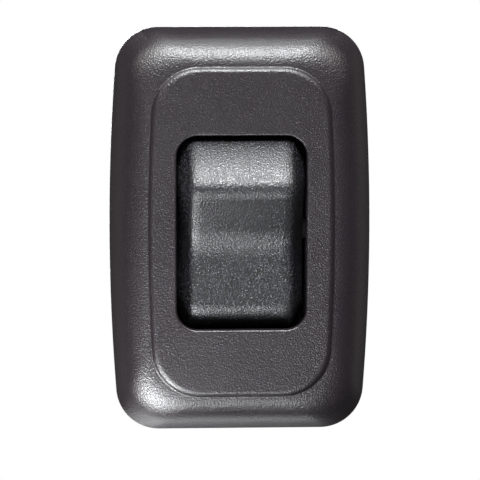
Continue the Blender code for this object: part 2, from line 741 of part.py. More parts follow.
def terminal(name, pad, tab_z, rivet_z, parts, cutters, material):
    """A folded strip: a pad on the front of the base and a tab that leaves through its back."""
    low_z, high_z = pad
    back = BASE_FRONT - FIT
    plate = block_bm((-TAB_HALF_W, back - SHEET, low_z), (TAB_HALF_W, back, high_z))
    piece = to_object(plate, name, parts, material)
    boolean(piece, tab_side(tab_z, f"{name}_tab", cutters), "UNION")
    eye = rod_bm(TAB_EYE_R, (0, TAB_EYE_Y, tab_z - 2 * MM), (0, TAB_EYE_Y, tab_z + 2 * MM), steps=16)
    boolean(piece, to_object(eye, f"{name}_eye", cutters))
    hole = rod_bm(RIVET_R + FIT, (0, back - 2 * MM, rivet_z), (0, back + 2 * MM, rivet_z), steps=16)
    boolean(piece, to_object(hole, f"{name}_hole", cutters))
    return piece


def fulcrum(cutters):
    """The ridge that the blade rocks on, pressed up from the common terminal."""
    foot = BASE_FRONT - FIT - SHEET + 0.2 * MM
    top = BLADE_PIVOT.y + 0.05 * MM
    section = [(-1.0 * MM, foot), (-0.25 * MM, top), (0.25 * MM, top), (1.0 * MM, foot)]
    rings = [[(x, y, z) for z, y in section] for x in (-1.9 * MM, 1.9 * MM)]
    return to_object(loft_bm(rings), "fulcrum", cutters)


# ---- assembly


def build():
    clear_scene()
    parts = new_collection("rocker_wall_switch")
    cutters = new_collection("cutters")
    black = new_material("black_abs", (0.045, 0.042, 0.045), 0.42)
    rocker_black = new_material("rocker_black", (0.05, 0.05, 0.052), 0.38)
    nylon = new_material("black_nylon", (0.03, 0.03, 0.032), 0.5)
    phenolic = new_material("base_phenolic", (0.09, 0.035, 0.02), 0.45)
    acetal = new_material("white_acetal", (0.78, 0.76, 0.70), 0.35)
    zinc = new_material("zinc_steel", (0.62, 0.62, 0.60), 0.3, 1.0)
    spring_steel = new_material("spring_steel", (0.55, 0.55, 0.56), 0.25, 1.0)
    brass = new_material("brass", (0.75, 0.56, 0.26), 0.28, 1.0)
    copper = new_material("copper", (0.80, 0.46, 0.32), 0.3, 1.0)
    silver = new_material("silver", (0.86, 0.85, 0.82), 0.22, 1.0)

    rocker_pivot = bpy.data.objects.new("rocker_pivot", None)
    blade_pivot = bpy.data.objects.new("blade_pivot", None)
    for empty, place, tilt in (
        (rocker_pivot, PIVOT, REST_TILT),
        (blade_pivot, BLADE_PIVOT, REST_TILT * BLADE_RATIO),
    ):
        parts.objects.link(empty)
        empty.location = place
        empty.rotation_euler = (tilt, 0, 0)

    face_plate(parts, cutters, black)
    mounting_frame(parts, cutters, nylon)
    mount_screw("upper_mount_screw", SCREW_Z, parts, cutters, zinc)
    mount_screw("lower_mount_screw", -SCREW_Z, parts, cutters, zinc)
    switch_housing(parts, cutters, nylon)
    terminal_base(parts, cutters, phenolic)
    smooth(rocker(parts, cutters, rocker_black, rocker_pivot))
    plunger(parts, acetal, rocker_pivot)
    plunger_spring(parts, spring_steel, rocker_pivot)
    contact_blade(parts, cutters, copper, blade_pivot)
    moving_contact(parts, silver, blade_pivot)
    common_pad = (-2.0 * MM, COMMON_TAB_Z + SHEET / 2)
    common = terminal(
        "common_terminal", common_pad, COMMON_TAB_Z, COMMON_RIVET_Z, parts, cutters, brass
    )
    boolean(common, fulcrum(cutters), "UNION")
    load_pad = (LOAD_TAB_Z - SHEET / 2, -5.2 * MM)
    terminal("load_terminal", load_pad, LOAD_TAB_Z, CONTACT_Z, parts, cutters, brass)
    base_rivet("common_rivet", COMMON_RIVET_Z, 12.5 * MM, parts, brass)
    base_rivet("fixed_contact", CONTACT_Z, 12.75 * MM, parts, silver)


build()
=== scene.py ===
"""Looks of the rocker wall switch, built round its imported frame.

X runs to the right, Z up, and Y into the wall, whose surface is the plane y = 0. A height h above
the wall is y = -h. The face plate, the rocker with its trunnions and the plunger's spring are
rebuilt as fine meshes on the same dimensions as the CAD. The other pieces keep their CAD shape,
shaded smooth. Lengths are in metres.
"""

import json
import math

import bmesh
import bpy
from mathutils import Matrix, Vector


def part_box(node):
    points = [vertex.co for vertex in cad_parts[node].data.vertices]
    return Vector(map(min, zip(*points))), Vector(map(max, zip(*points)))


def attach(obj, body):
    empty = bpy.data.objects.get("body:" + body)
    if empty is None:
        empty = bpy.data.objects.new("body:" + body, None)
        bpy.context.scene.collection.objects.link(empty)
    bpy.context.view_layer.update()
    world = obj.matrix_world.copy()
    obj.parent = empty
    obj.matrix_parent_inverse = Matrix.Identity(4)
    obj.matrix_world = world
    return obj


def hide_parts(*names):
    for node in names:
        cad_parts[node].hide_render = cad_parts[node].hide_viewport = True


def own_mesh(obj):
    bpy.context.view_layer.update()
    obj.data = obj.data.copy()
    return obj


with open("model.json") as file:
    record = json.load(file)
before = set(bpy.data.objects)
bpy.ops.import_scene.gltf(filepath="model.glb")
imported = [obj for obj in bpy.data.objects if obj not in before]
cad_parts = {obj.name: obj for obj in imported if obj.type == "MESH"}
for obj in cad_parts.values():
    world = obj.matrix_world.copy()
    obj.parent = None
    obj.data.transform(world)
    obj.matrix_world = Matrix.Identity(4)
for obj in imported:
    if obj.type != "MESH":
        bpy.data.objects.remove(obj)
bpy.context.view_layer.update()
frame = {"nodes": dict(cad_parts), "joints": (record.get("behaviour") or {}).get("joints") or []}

MM = 0.001
QUARTER = math.pi / 2
JOINTS = {joint["name"]: joint for joint in frame["joints"]}

# Face plate
PLATE_LOW, PLATE_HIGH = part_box("face_plate")
PLATE_HALF_W = PLATE_HIGH.x
PLATE_HALF_H = PLATE_HIGH.z
PANEL_HEIGHT = -PLATE_LOW.y
PLATE_CORNER = 7.8 * MM
PLATE_BOW = 392.0 * MM          # radius of the gently bowed long sides
CORNER_GROWTH = 0.12            # how fast the corner radius grows with the inset
RIM_LAND = 0.6 * MM
SKIRT_ANGLE = math.radians(62)
SHOULDER_R = 6.1 * MM
SHOULDER_END = math.radians(4)
PANEL_FOOT = 6.7 * MM
STEP_FOOT_R = 0.3 * MM
STEP_EDGE_R = 1.0 * MM
STEP_SLOPE = math.radians(65)
PLATE_WALL = 1.7 * MM
UNDERSIDE_LAND = 0.5 * MM       # level strip inside the shoulder, before the panel's hollow
OPENING_HALF_W = 11.68 * MM
OPENING_HALF_H = 17.48 * MM
OPENING_CORNER = 3.8 * MM
OPENING_EDGE = 0.35 * MM
STRAIGHT = 3.0                  # bow radius of a side that is straight

# Rocker, in its own level position: v is up and n is out of the wall, both from the pivot
PIVOT = Vector(JOINTS["rocker_tilt"]["pos_m"])
OUTWARD = Vector(JOINTS["plunger_slide"]["axis"])
REST_TILT = math.atan2(-OUTWARD.z, -OUTWARD.y)
CREST_V = 11.65 * MM
CREST_N = 12.9 * MM
CREST_R = 3.25 * MM
FACE_SLOPE = math.radians(22)
VALLEY_R = 9.5 * MM
NOSE_V = 14.9 * MM
NOSE_N = 9.95 * MM
NOSE_R = 16.0 * MM
ROCKER_HALF_W = 11.36 * MM
SKIRT_R = 18.7 * MM             # the ends are arcs round the pivot
SKIRT_TOP = math.radians(15)
SKIRT_BOTTOM_N = -3.0 * MM
ROCKER_CORNER = 3.8 * MM
CORNER_REACH = 0.985            # the corner's arc stops just short of its quarter turn
FLAT_HALF_W = 7.2 * MM
CROWN_R = 5.0 * MM
CROWN_END = math.radians(16)
EDGE_R = 1.3 * MM
SIDE_SLOPE = math.radians(72)
TRUNNION_R = 2.0 * MM
TRUNNION_ROOT = 9.6 * MM        # its inner end lies inside the rocker
TRUNNION_CHAMFER = 0.3 * MM

# Spring of the plunger, measured along n like the rocker
SPRING_LOW_N = -0.73 * MM       # the centre of the wire at the plunger's end of the spring
SPRING_HIGH_N = 6.73 * MM       # and at the end of the bore
SPRING_MEAN_R = 1.25 * MM
SPRING_WIRE_R = 0.17 * MM
SPRING_TURNS = 8
CLOSED_PITCH = 2.6 * SPRING_WIRE_R  # rise of the closed coil at each end

# Fineness of the rebuilt meshes. Each number of steps is for one arc, turn or side.
CORNER_STEPS = 24
SIDE_STEPS = 10
SHOULDER_STEPS = 28
INSIDE_STEPS = 10
STEP_FOOT_STEPS = 5
STEP_EDGE_STEPS = 10
OPENING_STEPS = 8
SKIRT_STEPS = 16
CROWN_STEPS = 6
EDGE_STEPS = 12
TURN_STEPS = 64
COIL_STEPS = 32
WIRE_STEPS = 12
FILLET_STEP = 2.5               # degrees
SUPPORT = 0.3 * MM              # a ring this far inside an edge keeps the flat beside it flat
SMOOTH_ANGLE = math.radians(35)  # edges sharper than this stay sharp
WELD = 0.002 * MM               # corners of a CAD mesh closer than this are one corner

# Camera
VIEW_AZIMUTH = -3.0
VIEW_ELEVATION = 6.9
VIEW_DISTANCE = 0.6
VIEW_SPAN = 86.9 * MM           # what the picture takes in at the wall's distance
SENSOR = 36.0                   # millimetres
AIM = Vector((0.08 * MM, 0.0, -2.13 * MM))

# Surroundings
FLOOR_DROP = 1.2                # a wall switch's height above the floor
FLOOR_HALF = 2.0
FLOOR_GLOW = 0.9                # the floor lights itself, and nothing else
AMBIENT = 0.055                 # strength of the room's own light
COOL = (0.965, 0.988, 1.0)      # tint of the main lights
WARM = (1.0, 0.94, 0.91)        # tint of the fills at the sides
FAR = 0.9                       # distance of the soft boxes
NEAR = 0.068                    # distance of the lamp close to the lower left corner

# name, azimuth, elevation, distance, width, height, radiance and colour. Angles are in degrees.
# Azimuth 0 is in front, and positive to the right. Elevation goes past 90 over to the back.
LIGHTS = (
    ("top_softbox", -3, 52, FAR, 0.4, 0.3, 70.0, COOL),
    ("overhead_softbox", -3, 92, FAR, 0.5, 0.4, 7.0, COOL),
    ("top_left_fill", -55, 45, FAR, 0.3, 0.3, 10.0, WARM),
    ("top_right_fill", 50, 45, FAR, 0.4, 0.3, 6.5, WARM),
    ("low_softbox", -12, -37, FAR, 0.3, 0.25, 38.0, COOL),
    ("low_left_softbox", -62, -34, FAR, 0.25, 0.25, 12.0, WARM),
    ("low_left_lamp", -47, -50.5, NEAR, 0.015, 0.015, 68.0, COOL),
    ("left_side_softbox", -115, 0, FAR, 0.8, 0.8, 0.25, WARM),
    ("right_side_softbox", 115, 0, FAR, 0.8, 0.8, 0.22, WARM),
    ("under_softbox", 30, -118, FAR, 0.6, 0.6, 4.0, COOL),
    ("back_left_softbox", -170, 5, FAR, 0.3, 0.4, 16.0, COOL),
    ("back_right_softbox", 170, 5, FAR, 0.3, 0.4, 16.0, COOL),
)

# Materials
CLOUD = 9 * MM                  # size of the patches in which a plastic's gloss and its paler edges, partly wear and partly painted sheen, vary
STAIN = 2.5 * MM                # size of the stains on metal
SCRATCH = 0.5 * MM
DRAWN = (1, 1, 12)              # scratches on metal are this much finer along Z

# The pieces that keep their CAD shape, and what each is made of
CAD_PIECES = {
    "mounting_frame": "black_nylon",
    "switch_housing": "black_nylon",
    "terminal_base": "brown_phenolic",
    "plunger": "natural_acetal",
    "contact_blade": "copper_strip",
    "moving_contact": "silver_contact",
    "fixed_contact": "silver_contact",
    "common_terminal": "stamped_brass",
    "load_terminal": "stamped_brass",
    "common_rivet": "stamped_brass",
    "upper_mount_screw": "zinc_steel",
    "lower_mount_screw": "zinc_steel",
}


# ---- outlines and solids


def arc(centre, radius, start, end, steps):
    """Points on an arc, both ends included."""
    turns = [start + (end - start) * i / steps for i in range(steps + 1)]
    return [(centre[0] + radius * math.cos(a), centre[1] + radius * math.sin(a)) for a in turns]


def circle(radius, steps):
    """Points round a circle, its start given once."""
    return arc((0.0, 0.0), radius, 0.0, math.tau, steps)[:-1]


def filleted(corners):
    """Points of an open line through corners (x, y, radius), each rounded by its radius."""
    points = [Vector(corners[0][:2])]
    for before, here, after in zip(corners, corners[1:], corners[2:]):
        corner = Vector(here[:2])
        inward = (Vector(before[:2]) - corner).normalized()
        onward = (Vector(after[:2]) - corner).normalized()
        half = math.acos(max(-1.0, min(1.0, inward.dot(onward)))) / 2
        centre = corner + (inward + onward).normalized() * here[2] / math.sin(half)
        start = corner + inward * here[2] / math.tan(half) - centre
        turn = math.pi - 2 * half
        side = 1 if (-inward).cross(onward) > 0 else -1
        steps = max(2, round(math.degrees(turn) / FILLET_STEP))
        first = math.atan2(start.y, start.x)
        points += [Vector(p) for p in arc(centre, here[2], first, first + side * turn, steps)]
    points.append(Vector(corners[-1][:2]))
    return points


def outline(half_w, half_h, corner, bow):
    """(x, z) points of a rectangle with round corners and long sides bowed out to radius bow."""
    middle_x = half_w - bow
    corner_z = half_h - corner
    corner_x = middle_x + math.sqrt((bow - corner) ** 2 - corner_z**2)
    meet = math.asin(corner_z / (bow - corner))
    quarter = arc((middle_x, 0.0), bow, 0.0, meet, SIDE_STEPS)
    quarter += arc((corner_x, corner_z), corner, meet, QUARTER, CORNER_STEPS)[1:]
    quarter += [(corner_x * share, half_h) for share in (0.75, 0.5, 0.25, 0.0)]
    ring = quarter[:-1]
    ring += [(-x, z) for x, z in reversed(quarter[1:])]
    ring += [(-x, -z) for x, z in quarter[:-1]]
    ring += [(x, -z) for x, z in reversed(quarter[1:])]
    return ring


def loft(name, rings, closed=False, place=None):
    """An object through rings of equal length: capped at its ends, or closed round on itself."""
    bm = bmesh.new()
    loops = [[bm.verts.new(point) for point in ring] for ring in rings]
    pairs = list(zip(loops, loops[1:]))
    if closed:
        pairs.append((loops[-1], loops[0]))
    else:
        bm.faces.new(loops[0])
        bm.faces.new(loops[-1])
    for near, far in pairs:
        for i in range(len(near)):
            j = (i + 1) % len(near)
            bm.faces.new((near[i], near[j], far[j], far[i]))
    bmesh.ops.recalc_face_normals(bm, faces=bm.faces)
    if place:
        bm.transform(place)
    mesh = bpy.data.meshes.new(name)
    bm.to_mesh(mesh)
    bm.free()
    mesh.shade_smooth()
    mesh.set_sharp_from_angle(angle=SMOOTH_ANGLE)
    obj = bpy.data.objects.new(name, mesh)
    bpy.context.scene.collection.objects.link(obj)
    return obj


# ---- face plate


def plate_ring(inset, height):
    """The face plate's outline, moved in by an inset and lifted to a height above the wall."""
    ring = outline(
        PLATE_HALF_W - inset,
        PLATE_HALF_H - inset,
        PLATE_CORNER + CORNER_GROWTH * inset,
        PLATE_BOW - inset,
    )
    return [(x, -height, z) for x, z in ring]


def opening_ring(grow, height):
    """The rocker's opening, grown on all sides and lifted to a height above the wall."""
    ring = outline(OPENING_HALF_W + grow, OPENING_HALF_H + grow, OPENING_CORNER + grow, STRAIGHT)
    return [(x, -height, z) for x, z in ring]


def shoulder_profile(wall, steps):
    """(inset, height) from the wall up the skirt and over the shoulder, a wall's depth inside it."""
    arc_width = SHOULDER_R * (math.sin(SKIRT_ANGLE) - math.sin(SHOULDER_END))
    arc_rise = SHOULDER_R * (math.cos(SHOULDER_END) - math.cos(SKIRT_ANGLE))
    skirt_rise = (PANEL_FOOT - arc_width) * math.tan(SKIRT_ANGLE)
    centre = (
        PANEL_FOOT + SHOULDER_R * math.sin(SHOULDER_END),
        RIM_LAND + skirt_rise + arc_rise - SHOULDER_R * math.cos(SHOULDER_END),
    )
    bend = arc(centre, SHOULDER_R - wall, QUARTER + SKIRT_ANGLE, QUARTER + SHOULDER_END, steps)
    foot = bend[0][0] - (bend[0][1] - RIM_LAND) / math.tan(SKIRT_ANGLE)
    return [(foot, 0.0), (foot, RIM_LAND), *bend]


def panel_step(foot):
    """(inset, height) from the shoulder's inner end, up the rounded step to the raised panel."""
    centre = (
        foot[0] - STEP_FOOT_R * math.sin(SHOULDER_END),
        foot[1] + STEP_FOOT_R * math.cos(SHOULDER_END),
    )
    start, end = SHOULDER_END - QUARTER, STEP_SLOPE - QUARTER
    hollow = arc(centre, STEP_FOOT_R, start, end, STEP_FOOT_STEPS)
    edge_foot = PANEL_HEIGHT - STEP_EDGE_R * (1 - math.cos(STEP_SLOPE))
    across = (edge_foot - hollow[-1][1]) / math.tan(STEP_SLOPE)
    centre = (
        hollow[-1][0] + across + STEP_EDGE_R * math.sin(STEP_SLOPE),
        PANEL_HEIGHT - STEP_EDGE_R,
    )
    edge = arc(centre, STEP_EDGE_R, QUARTER + STEP_SLOPE, QUARTER, STEP_EDGE_STEPS)
    return hollow[1:] + edge


def face_plate():
    """A thin moulded shell: skirt, round shoulder, step, raised panel and the rocker's opening."""
    outside = shoulder_profile(0.0, SHOULDER_STEPS)
    step = panel_step(outside[-1])
    rings = [plate_ring(*point) for point in outside + step]
    rings.append(plate_ring(step[-1][0] + SUPPORT, PANEL_HEIGHT))
    rings.append(opening_ring(OPENING_EDGE + SUPPORT, PANEL_HEIGHT))
    centre = (OPENING_EDGE, PANEL_HEIGHT - OPENING_EDGE)
    rounding = arc(centre, OPENING_EDGE, QUARTER, math.pi, OPENING_STEPS)
    rings += [opening_ring(*point) for point in rounding]
    underside = PANEL_HEIGHT - PLATE_WALL
    rings.append(opening_ring(0.0, underside))
    inside = shoulder_profile(PLATE_WALL, INSIDE_STEPS)
    rings.append(plate_ring(PANEL_FOOT + PLATE_WALL, underside))
    rings.append(plate_ring(inside[-1][0] + UNDERSIDE_LAND, inside[-1][1]))
    rings += [plate_ring(*point) for point in reversed(inside)]
    return loft("face_plate_shell", rings, closed=True)


# ---- rocker and spring


def rocker_face():
    """(v, n) of the rocker's face along its middle, from one end over both crests to the other."""
    end_v = SKIRT_R * math.cos(SKIRT_TOP)
    end_n = SKIRT_R * math.sin(SKIRT_TOP)
    valley_n = CREST_N - CREST_V * math.tan(FACE_SLOPE)
    return filleted([
        (end_v, end_n, 0.0),
        (NOSE_V, NOSE_N, NOSE_R),
        (CREST_V, CREST_N, CREST_R),
        (0.0, valley_n, VALLEY_R),
        (-CREST_V, CREST_N, CREST_R),
        (-NOSE_V, NOSE_N, NOSE_R),
        (-end_v, end_n, 0.0),
    ])


def rocker_sections():
    """(x, drop of the face, pull-in of the ends) from the middle of the rocker out to its side."""
    line = [(FLAT_HALF_W * share, 0.0) for share in (0.0, 0.33, 0.67)]
    line += arc((FLAT_HALF_W, CROWN_R), CROWN_R, -QUARTER, CROWN_END - QUARTER, CROWN_STEPS)
    centre = (
        line[-1][0] - EDGE_R * math.sin(CROWN_END),
        line[-1][1] + EDGE_R * math.cos(CROWN_END),
    )
    line += arc(centre, EDGE_R, CROWN_END - QUARTER, SIDE_SLOPE - QUARTER, EDGE_STEPS)[1:]
    edge_x, edge_drop = line[-1]
    for i in range(1, EDGE_STEPS + 1):
        run = (ROCKER_HALF_W - edge_x) * math.sin(QUARTER * i / EDGE_STEPS)
        line.append((edge_x + run, edge_drop + run * math.tan(SIDE_SLOPE)))
    sections = []
    for x, drop in line:
        reach = max(0.0, 1 - (ROCKER_HALF_W - x) / ROCKER_CORNER)
        pull = ROCKER_CORNER * (1 - math.sqrt(1 - min(reach, CORNER_REACH) ** 2))
        sections.append((x, drop, pull))
    return sections


def rocker_ring(face, x, drop, pull):
    """One section of the rocker: up an end, over the face and down the other end."""
    radius = SKIRT_R - pull
    end_v, end_n = face[0]
    meet_n = end_n - drop
    stretch = (math.sqrt(radius**2 - meet_n**2) - CREST_V) / (end_v - CREST_V)
    foot = math.asin(SKIRT_BOTTOM_N / radius)
    skirt = arc((0.0, 0.0), radius, foot, math.asin(meet_n / radius), SKIRT_STEPS)[:-1]
    top = []
    for v, n in face:
        moved = max(0.0, abs(v) - CREST_V) * (stretch - 1)
        top.append((v + math.copysign(1, v) * moved, n - drop))
    side = skirt + top + [(-v, n) for v, n in reversed(skirt)]
    return [(x, -n, v) for v, n in side]


def rocker_skin(place):
    """The moulded rocker: concave face, round noses and slanting sides. Its back is closed."""
    face = rocker_face()
    half = rocker_sections()
    sections = [(-x, drop, pull) for x, drop, pull in reversed(half[1:])] + half
    return loft("rocker_skin", [rocker_ring(face, *section) for section in sections], place=place)


def trunnion(side, place):
    """A stub axle, chamfered at its end, that turns in the hole of the housing."""
    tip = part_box("rocker")[1].x
    profile = (
        (TRUNNION_ROOT, TRUNNION_R),
        (tip - TRUNNION_CHAMFER, TRUNNION_R),
        (tip, TRUNNION_R - TRUNNION_CHAMFER),
    )
    rings = [[(side * x, y, z) for y, z in circle(radius, TURN_STEPS)] for x, radius in profile]
    return loft(f"rocker_trunnion_{'right' if side > 0 else 'left'}", rings, place=place)


def plunger_spring(place):
    """A coil of round wire for the plunger, with a closed coil at each end."""
    length = SPRING_HIGH_N - SPRING_LOW_N
    end_share = CLOSED_PITCH / length
    count = SPRING_TURNS * COIL_STEPS
    centres = []
    for i in range(count + 1):
        turns = i / COIL_STEPS
        if turns <= 1:
            rise = end_share * turns
        elif turns >= SPRING_TURNS - 1:
            rise = 1 - end_share * (SPRING_TURNS - turns)
        else:
            rise = end_share + (1 - 2 * end_share) * (turns - 1) / (SPRING_TURNS - 2)
        angle = math.tau * turns
        n = SPRING_LOW_N + length * rise
        centres.append(Vector((SPRING_MEAN_R * math.cos(angle), -n, SPRING_MEAN_R * math.sin(angle))))
    rings = []
    for i, centre in enumerate(centres):
        along = (centres[min(i + 1, count)] - centres[max(i - 1, 0)]).normalized()
        outward = Vector((centre.x, 0.0, centre.z)).normalized()
        upward = along.cross(outward).normalized()
        wire = circle(SPRING_WIRE_R, WIRE_STEPS)
        rings.append([centre + outward * u + upward * v for u, v in wire])
    return loft("plunger_coil", rings, place=place)


# ---- materials


def new_material(name, colour, roughness, metallic=0.0, specular=0.5):
    """A material and its Principled shader."""
    material = bpy.data.materials.new(name)
    material.use_nodes = True
    shader = material.node_tree.nodes["Principled BSDF"]
    shader.inputs["Base Color"].default_value = (*colour, 1.0)
    shader.inputs["Roughness"].default_value = roughness
    shader.inputs["Metallic"].default_value = metallic
    shader.inputs["Specular IOR Level"].default_value = specular
    return material, shader


def feed(material, socket, value):
    """Links another node's output to a socket, or sets the socket to a plain value."""
    if isinstance(value, bpy.types.NodeSocket):
        material.node_tree.links.new(value, socket)
    else:
        socket.default_value = value


def add(material, kind, **inputs):
    """A node of one kind, with values or other nodes' outputs on its named inputs."""
    node = material.node_tree.nodes.new(kind)
    for name, value in inputs.items():
        feed(material, node.inputs[name.replace("_", " ")], value)
    return node


def noise(material, size, detail=2.0, coords=None):
    """Noise of a feature size in metres, from about 0 to 1."""
    coords = coords or add(material, "ShaderNodeTexCoord").outputs["Object"]
    node = add(material, "ShaderNodeTexNoise", Vector=coords, Scale=1 / size, Detail=detail)
    return node.outputs["Fac"]


def remap(material, value, low, high, to_low, to_high):
    """Value stretched from low and high to two new ends, and held between them."""
    node = add(
        material,
        "ShaderNodeMapRange",
        Value=value,
        From_Min=low,
        From_Max=high,
        To_Min=to_low,
        To_Max=to_high,
    )
    return node.outputs["Result"]


def combine(material, operation, first, second):
    """Two values added or multiplied."""
    node = material.node_tree.nodes.new("ShaderNodeMath")
    node.operation = operation
    feed(material, node.inputs[0], first)
    feed(material, node.inputs[1], second)
    return node.outputs["Value"]


def blend_colour(material, share, first, second):
    """Colour that goes from first to second with share. First may be another node's output."""
    node = material.node_tree.nodes.new("ShaderNodeMix")
    node.data_type = "RGBA"
    feed(material, node.inputs["Factor"], share)
    colours = [socket for socket in node.inputs if socket.type == "RGBA"]
    for socket, value in zip(colours, (first, second)):
        feed(material, socket, (*value, 1.0) if isinstance(value, tuple) else value)
    return [socket for socket in node.outputs if socket.type == "RGBA"][0]


def grain_height(material, coords, grain):
    """Height of a moulded grain, from 0 to 1: rounded pebbles roughened by noise of their size."""
    cells = add(material, "ShaderNodeTexVoronoi", Vector=coords, Scale=1 / grain)
    cells.feature = "SMOOTH_F1"
    cells.inputs["Smoothness"].default_value = 0.4
    pebble = remap(material, cells.outputs["Distance"], 0.1, 0.7, 1.0, 0.0)
    fine = remap(material, noise(material, grain * 0.9, 3.0, coords), 0.3, 0.7, 0.0, 1.0)
    return combine(material, "MULTIPLY", combine(material, "ADD", pebble, fine), 0.5)


def grained_plastic(name, colour, roughness, grain, depth, grain_glint_and_shade=0.15, edge_wear_and_sheen=0.2, specular=0.5):
    """Moulded plastic with a spark-eroded grain of one size, and paler edges, partly wear and partly
    painted sheen.

    The grain is a bump of the given depth. Its hollows are duller than its tops; the tops are painted
    lighter as glints and the hollows painted darker as shade, by an amount that also sets how far
    the gloss swings. A sharp edge shows a given share of a paler colour, partly wear and partly a
    painted sheen.
    speckle is how much darker. Wear is how much of the scuffed colour a sharp edge shows.
    """
    material, shader = new_material(name, colour, roughness, specular=specular)
    coords = add(material, "ShaderNodeTexCoord").outputs["Object"]
    height = grain_height(material, coords, grain)
    bump = add(material, "ShaderNodeBump", Height=height, Strength=1.0, Distance=depth)
    feed(material, shader.inputs["Normal"], bump.outputs["Normal"])

    cloud = noise(material, CLOUD, 3.0, coords)
    uneven = remap(material, cloud, 0.3, 0.7, roughness - 0.02, roughness + 0.02)
    swing = 0.04 + 0.09 * grain_glint_and_shade
    polish = remap(material, height, 0.35, 0.65, swing, -swing)
    feed(material, shader.inputs["Roughness"], combine(material, "ADD", uneven, polish))

    # Painted light on the grain: the hollows are painted darker as shade and the tops lighter as
    # glints
    dark = tuple((1 - grain_glint_and_shade) * c for c in colour)
    light = tuple((1 + 4.5 * grain_glint_and_shade) * c for c in colour)
    tops = remap(material, height, 0.45, 0.65, 0.0, 1.0)
    glint_and_shade_colour = blend_colour(material, tops, dark, light)
    # Paler sharp edges: partly wear, partly a painted sheen along the edges
    edges = add(material, "ShaderNodeNewGeometry").outputs["Pointiness"]
    sharp = remap(material, edges, 0.53, 0.62, 0.0, edge_wear_and_sheen)
    patchy = remap(material, cloud, 0.35, 0.6, 0.3, 1.0)
    worn_and_sheen = combine(material, "MULTIPLY", sharp, patchy)
    scuffed_and_sheen = tuple(2.2 * c + 0.01 for c in colour)
    feed(material, shader.inputs["Base Color"], blend_colour(material, worn_and_sheen, glint_and_shade_colour, scuffed_and_sheen))
    return material


def machined_metal(name, colour, roughness, stain):
    """Plated or stamped metal: fine drawn scratches, with darker clouds of stain."""
    material, shader = new_material(name, colour, roughness, metallic=1.0)
    coords = add(material, "ShaderNodeTexCoord").outputs["Object"]
    stretch = add(material, "ShaderNodeMapping", Vector=coords, Scale=DRAWN)
    lines = noise(material, SCRATCH, 4.0, stretch.outputs["Vector"])
    bump = add(material, "ShaderNodeBump", Height=lines, Strength=0.4, Distance=0.01 * MM)
    feed(material, shader.inputs["Normal"], bump.outputs["Normal"])

    cloud = noise(material, STAIN, 4.0, coords)
    uneven = remap(material, cloud, 0.3, 0.7, roughness - 0.06, roughness + 0.12)
    scratched = remap(material, lines, 0.3, 0.7, -0.05, 0.05)
    feed(material, shader.inputs["Roughness"], combine(material, "ADD", uneven, scratched))
    share = remap(material, cloud, 0.45, 0.75, 0.0, 0.7)
    feed(material, shader.inputs["Base Color"], blend_colour(material, share, colour, stain))
    return material


def switch_materials():
    """Every material of the switch, by name."""
    shade_black = (0.003, 0.003, 0.003)
    black = (0.018, 0.018, 0.019)
    brown = (0.085, 0.032, 0.018)
    natural = (0.75, 0.73, 0.67)
    made = (
        grained_plastic(
            "plate_plastic",
            (0.0070, 0.0051, 0.0066),
            roughness=0.34,
            grain=0.31 * MM,
            depth=0.05 * MM,
            grain_glint_and_shade=0.12,
        ),
        # The rocker's grain has strong painted contrast: bright painted glints on its tops, deep
        # painted shade in its hollows
        grained_plastic(
            "rocker_plastic",
            (0.0062, 0.0061, 0.0074),
            roughness=0.325,
            grain=0.33 * MM,
            depth=0.075 * MM,
            grain_glint_and_shade=0.98,
        ),
        # The trunnions' near black, darker than the nylon, is painted shade for the gap beside the
        # rocker where they sit; they are also dull so they catch little light
        grained_plastic(
            "axle_plastic_painted_shade", shade_black, roughness=0.9, grain=0.3 * MM, depth=0.01 * MM, specular=0.15
        ),
        grained_plastic("black_nylon", black, roughness=0.5, grain=0.25 * MM, depth=0.006 * MM),
        grained_plastic("brown_phenolic", brown, roughness=0.45, grain=0.3 * MM, depth=0.006 * MM),
        grained_plastic(
            "natural_acetal", natural, roughness=0.35, grain=0.4 * MM, depth=0.004 * MM, edge_wear_and_sheen=0
        ),
        machined_metal("zinc_steel", (0.62, 0.61, 0.58), roughness=0.34, stain=(0.42, 0.4, 0.34)),
        machined_metal("spring_wire", (0.55, 0.55, 0.56), roughness=0.3, stain=(0.4, 0.4, 0.4)),
        machined_metal("copper_strip", (0.83, 0.45, 0.3), roughness=0.3, stain=(0.5, 0.24, 0.13)),
        machined_metal("silver_contact", (0.86, 0.85, 0.82), roughness=0.28, stain=(0.5, 0.47, 0.4)),
        machined_metal("stamped_brass", (0.78, 0.58, 0.28), roughness=0.3, stain=(0.5, 0.33, 0.14)),
    )
    return {material.name: material for material in made}


# ---- pieces on the frame


